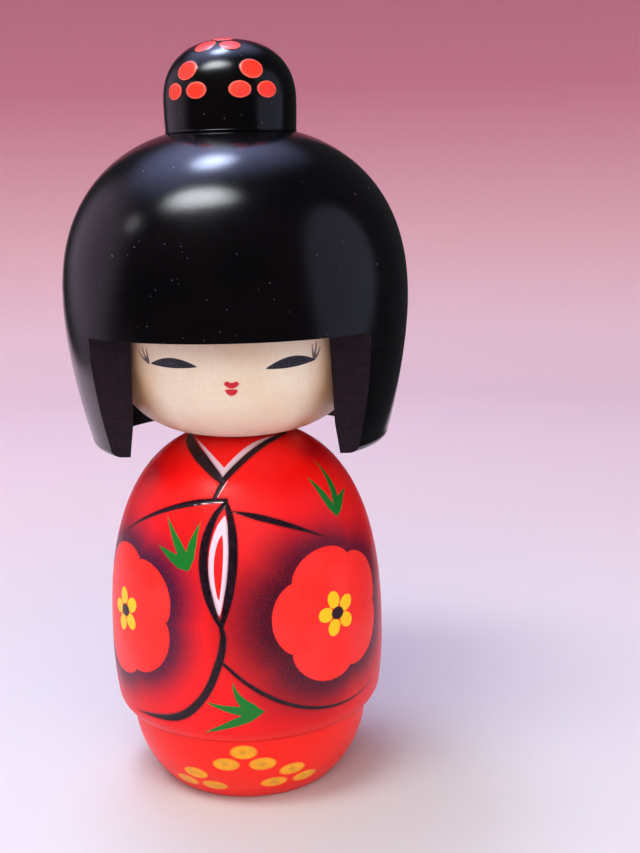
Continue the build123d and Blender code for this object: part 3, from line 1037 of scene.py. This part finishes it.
def add_fringe(patches, shares):
    """The level underside of the fringe."""
    across = np.linspace(-1, 1, FRONT_COLUMNS + 1)
    outer_radius = float(cap_radius(FRINGE_Z))
    inner = Turned.place(across * float(bore_angle(FRINGE_Z)), CAP_BORE_RADIUS, FRINGE_Z)
    outer = Turned.place(across * float(outer_angle(outer_radius, FRINGE_Z)), outer_radius, FRINGE_Z)
    patches.add(between(inner, outer, shares), len(across), len(shares), slot=1)


def add_lock(patches, rows, sign, shares):
    """The front face, the inner side and the top of one lock."""
    r, z = rows[:, 0], rows[:, 1]
    count = len(shares)
    corner_x, corner_y = lock_corner(z)
    edge = Turned.place(sign * outer_angle(r, z), r, z)
    corner = np.column_stack([sign * corner_x, corner_y, z])
    bore = Turned.place(sign * bore_angle(z), np.full(len(z), CAP_BORE_RADIUS), z)
    patches.add(between(edge, corner, shares), len(z), count, slot=1)
    patches.add(between(corner, bore, shares), len(z), count, slot=1)
    side = between(corner[-1:], bore[-1:], shares)
    patches.add(between(np.repeat(edge[-1:], count, axis=0), side, shares), count, count, slot=1)


def make_hair_cap():
    """The hair: outer shell, fringe, locks with flat leaning faces, bore and crown, as one closed mesh."""
    outer_low, high, inner_low = cap_rows()
    patches = Patches()
    loop = np.vstack([outer_low, high, inner_low])
    first_high = len(outer_low) - 1
    last_high = len(outer_low) + len(high) - 1
    half = cap_half_angles(loop, first_high, last_high)
    patches.add(*sector(loop, half, 360 - half, BACK_COLUMNS), slot=0, closed=True)
    front = slice(first_high, last_high + 1)
    patches.add(*sector(loop[front], -half[front], half[front], FRONT_COLUMNS), slot=0)
    shares = np.linspace(0, 1, LOCK_COLUMNS + 1)
    add_fringe(patches, shares)
    for sign in (-1, 1):
        add_lock(patches, outer_low, sign, shares)
    cap = new_object("lacquered_hair_cap", np.vstack(patches.verts), patches.faces,
                     [lacquer_material(), cut_wood_material()], patches.slots)
    close_mesh(cap)
    soften_edges(cap, width=0.3)
    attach(cap, "upper")
    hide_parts("hair_cap")


def close_mesh(obj):
    """Welds the patches, splits the hem where the locks' columns meet it, and turns all faces outwards."""
    bm = bmesh.new()
    bm.from_mesh(obj.data)
    bmesh.ops.remove_doubles(bm, verts=bm.verts, dist=WELD_DISTANCE * MM)
    hem_ends = [e for e in bm.edges if len(e.link_faces) == 1 and e.calc_length() > MM]
    bmesh.ops.subdivide_edges(bm, edges=hem_ends, cuts=LOCK_COLUMNS - 1)
    bmesh.ops.remove_doubles(bm, verts=bm.verts, dist=WELD_DISTANCE * MM)
    bmesh.ops.recalc_face_normals(bm, faces=bm.faces)
    bm.to_mesh(obj.data)
    bm.free()
    obj.data.set_sharp_from_angle(angle=SHARP_ANGLE)


def soften_edges(obj, width):
    """Small rounding on the sharp edges."""
    bevel = obj.modifiers.new("soft_edges", "BEVEL")
    bevel.width = width * MM
    bevel.segments = 3
    bevel.limit_method = "ANGLE"
    bevel.angle_limit = SHARP_ANGLE
    bevel.harden_normals = True


def finish_dowels():
    """The two hidden dowels keep their CAD shape and get their wood."""
    wood = dowel_material()
    for node in ("neck_dowel", "topknot_dowel"):
        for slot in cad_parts[node].material_slots:
            slot.material = wood


# ---- stage, lights, camera

# Colours of the paper at distances out along the floor and on up the backdrop
BACKDROP_STOPS = [(0.0, (205, 210, 208)), (0.22, (230, 212, 206)), (0.42, (244, 222, 218)),
                  (0.6, (243, 213, 208)), (0.74, (232, 186, 181)), (0.94, (200, 128, 135)),
                  (1.3, (150, 88, 101))]
BACKDROP_REACH = 1.4
# The stage is in metres: these sizes, the distances above, and the lights below
COVE_CENTRE_RADIUS = 0.001
COVE_FLOOR_RADIUS = 0.45
COVE_BEND_RADIUS = 0.35
COVE_COLUMNS = 180
COVE_WALL_LOW_Z = 0.45
COVE_HEIGHT = 1.5
STRIP_LEFT_X = -0.3
STRIP_RIGHT_X = 0.12
STRIP_FRONT_Y = -0.12


def backdrop_material():
    """Pale paper that turns dusty pink up the backdrop."""
    s = Shader("backdrop_paper")
    x, y, z = s.node("SeparateXYZ", {0: s.where}).node.outputs
    radius = s.math("SQRT", s.math("ADD", s.math("MULTIPLY", x, x), s.math("MULTIPLY", y, y)))
    reach = s.math("ADD", radius, z)
    colour = s.node("ValToRGB", {0: s.ramp(reach, 0.0, BACKDROP_REACH, smooth=False)})
    elements = colour.node.color_ramp.elements
    while len(elements) < len(BACKDROP_STOPS):
        elements.new(0.5)
    for element, (place, tone) in zip(elements, BACKDROP_STOPS):
        element.position = place / BACKDROP_REACH
        element.color = paint(*tone)
    s.bump(s.noise(0.6, detail=4), 0.02)
    return s.finish(colour, 0.9)


def make_cove():
    """Seamless floor and backdrop all round; only a strip under and behind the doll shows in its gloss."""
    bend = np.linspace(0, math.pi / 2, 25)[1:]
    wall_radius = COVE_FLOOR_RADIUS + COVE_BEND_RADIUS
    outline = [(r, 0.0) for r in np.linspace(COVE_CENTRE_RADIUS, COVE_FLOOR_RADIUS, 12)]
    outline += [(COVE_FLOOR_RADIUS + COVE_BEND_RADIUS * math.sin(a), COVE_BEND_RADIUS * (1 - math.cos(a)))
                for a in bend]
    outline += [(wall_radius, z) for z in np.linspace(COVE_WALL_LOW_Z, COVE_HEIGHT, 8)]
    outline = np.array(outline) / MM
    count = len(outline)
    points, rows, columns = sector(outline, np.zeros(count), np.full(count, 360.0), COVE_COLUMNS)
    cuts = [((STRIP_RIGHT_X, 0, 0), (1, 0, 0)), ((STRIP_LEFT_X, 0, 0), (-1, 0, 0)),
            ((0, STRIP_FRONT_Y, 0), (0, -1, 0))]
    paper = backdrop_material()
    for name, inside in (("backdrop_strip", True), ("backdrop_surround", False)):
        patches = Patches()
        patches.add(points, rows, columns, slot=0, flip=True)
        cove = new_object(name, np.vstack(patches.verts), patches.faces, [paper])
        keep_strip(cove, cuts, inside)
        cove.visible_glossy = inside


def keep_strip(obj, cuts, inside):
    """Cuts a mesh along planes and keeps the part on the inner side of all of them, or the rest."""
    bm = bmesh.new()
    bm.from_mesh(obj.data)
    for place, normal in cuts:
        everything = bm.verts[:] + bm.edges[:] + bm.faces[:]
        bmesh.ops.bisect_plane(bm, geom=everything, plane_co=place, plane_no=normal)
    doomed = []
    for face in bm.faces:
        middle = face.calc_center_median()
        within = all((middle - Vector(place)).dot(Vector(normal)) < 0 for place, normal in cuts)
        if within != inside:
            doomed.append(face)
    bmesh.ops.delete(bm, geom=doomed, context="FACES")
    bm.to_mesh(obj.data)
    bm.free()


def direction(azimuth, elevation):
    """Unit vector, azimuth from the front towards the doll's left, both in degrees."""
    a, e = math.radians(azimuth), math.radians(elevation)
    return Vector((math.sin(a) * math.cos(e), -math.cos(a) * math.cos(e), math.sin(e)))


# In metres
LIGHT_DISTANCE = 0.68
LIGHT_AIM = Vector((0, 0, 0.1))


def panel(name, azimuth, elevation, width, height, radiance, colour, turn=0, core=0.0, glossy=True):
    """Soft light as wide and high as so many degrees seen from the doll, fading from its core to its rim."""
    lamp = bpy.data.lights.new(name, "AREA")
    lamp.shape = "RECTANGLE"
    lamp.size = 2 * LIGHT_DISTANCE * math.tan(math.radians(width / 2))
    lamp.size_y = 2 * LIGHT_DISTANCE * math.tan(math.radians(height / 2))
    lamp.energy = radiance * math.pi * lamp.size * lamp.size_y
    lamp.color = colour
    lamp.use_nodes = True
    fade_to_rim(lamp.node_tree, core)
    obj = bpy.data.objects.new(name, lamp)
    obj.location = LIGHT_AIM + direction(azimuth, elevation) * LIGHT_DISTANCE
    facing = (obj.location - LIGHT_AIM).to_track_quat("Z", "Y").to_matrix()
    obj.rotation_euler = (facing @ Matrix.Rotation(math.radians(turn), 3, "Z")).to_euler()
    obj.visible_camera = False
    obj.visible_glossy = glossy
    bpy.context.scene.collection.objects.link(obj)


def fade_to_rim(tree, core):
    """Makes a light's emission fall smoothly to nothing from a share of its half size to its rim."""
    place = add_node(tree, "NewGeometry", {}, "Parametric")
    doubled = {0: place, 1: (2, 2, 0), 2: (-1, -1, 0)}
    centred = add_node(tree, "VectorMath", doubled, operation="MULTIPLY_ADD")
    away = add_node(tree, "VectorMath", {0: centred}, "Value", operation="LENGTH")
    limits = {"Value": away, "From Min": 1.0, "From Max": core}
    fade = add_node(tree, "MapRange", limits, "Result", interpolation_type="SMOOTHSTEP")
    put(tree, tree.nodes["Emission"].inputs["Strength"], fade)


def make_lights():
    """Soft panels above, in front and at both sides."""
    panel("overhead", -140, 77, 25, 20, 33, (0.6, 0.7, 1), core=0.1)
    panel("overhead_wide", -145, 70, 84, 70, 3.1, (0.5, 0.54, 1))
    panel("front_top", -34, 61.5, 48, 22, 17, (0.9, 0.95, 1), turn=24, core=0.3)
    panel("left_small", -77, 33, 15, 15, 3.0, (1, 0.97, 1))
    panel("side_left", -106, 12, 76, 76, 0.55, (0.95, 0.72, 1), core=0.4)
    panel("side_right", 78, 8, 60, 76, 0.5, (0.66, 0.7, 1), core=0.75)
    panel("fill_front", 4, 30, 110, 80, 2.8, (0.95, 1, 0.96), glossy=False)


def make_world():
    """Faint light from all round, and colours shown as they are painted."""
    world = bpy.data.worlds.new("studio")
    world.use_nodes = True
    background = world.node_tree.nodes["Background"]
    background.inputs["Color"].default_value = (0.8, 0.8, 0.9, 1)
    background.inputs["Strength"].default_value = 0.05
    bpy.context.scene.world = world
    bpy.context.scene.view_settings.view_transform = "Standard"


# Where the camera stands, in degrees and millimetres, how it is turned, and its lens
CAMERA_TURN = 4.2
CAMERA_DISTANCE = 260.2
CAMERA_HEIGHT = 125.4
CAMERA_YAW = 3.56
CAMERA_PITCH = 11.41
CAMERA_ROLL = -1.3
CAMERA_LENS = 54.42


def make_camera():
    """Camera at the photograph's viewing angle."""
    camera = bpy.data.objects.new("camera", bpy.data.cameras.new("camera"))
    bpy.context.scene.collection.objects.link(camera)
    place = direction(CAMERA_TURN, 0) * CAMERA_DISTANCE
    place.z = CAMERA_HEIGHT
    camera.location = place * MM
    heading = math.radians(CAMERA_YAW - CAMERA_TURN)
    pitch = math.radians(CAMERA_PITCH)
    roll = math.radians(CAMERA_ROLL)
    ahead = Vector((math.sin(heading), math.cos(heading), 0))
    forward = ahead * math.cos(pitch) - Vector((0, 0, math.sin(pitch)))
    level = Vector((math.cos(heading), -math.sin(heading), 0))
    upward = level.cross(forward)
    right = math.cos(roll) * level + math.sin(roll) * upward
    up = -math.sin(roll) * level + math.cos(roll) * upward
    camera.rotation_euler = Matrix((right, up, -forward)).transposed().to_euler()
    camera.data.lens = CAMERA_LENS
    camera.data.sensor_width = 36
    camera.data.clip_start = 0.01
    bpy.context.scene.camera = camera


make_body()
make_head()
make_topknot()
make_hair_cap()
finish_dowels()
make_cove()
make_lights()
make_world()
make_camera()
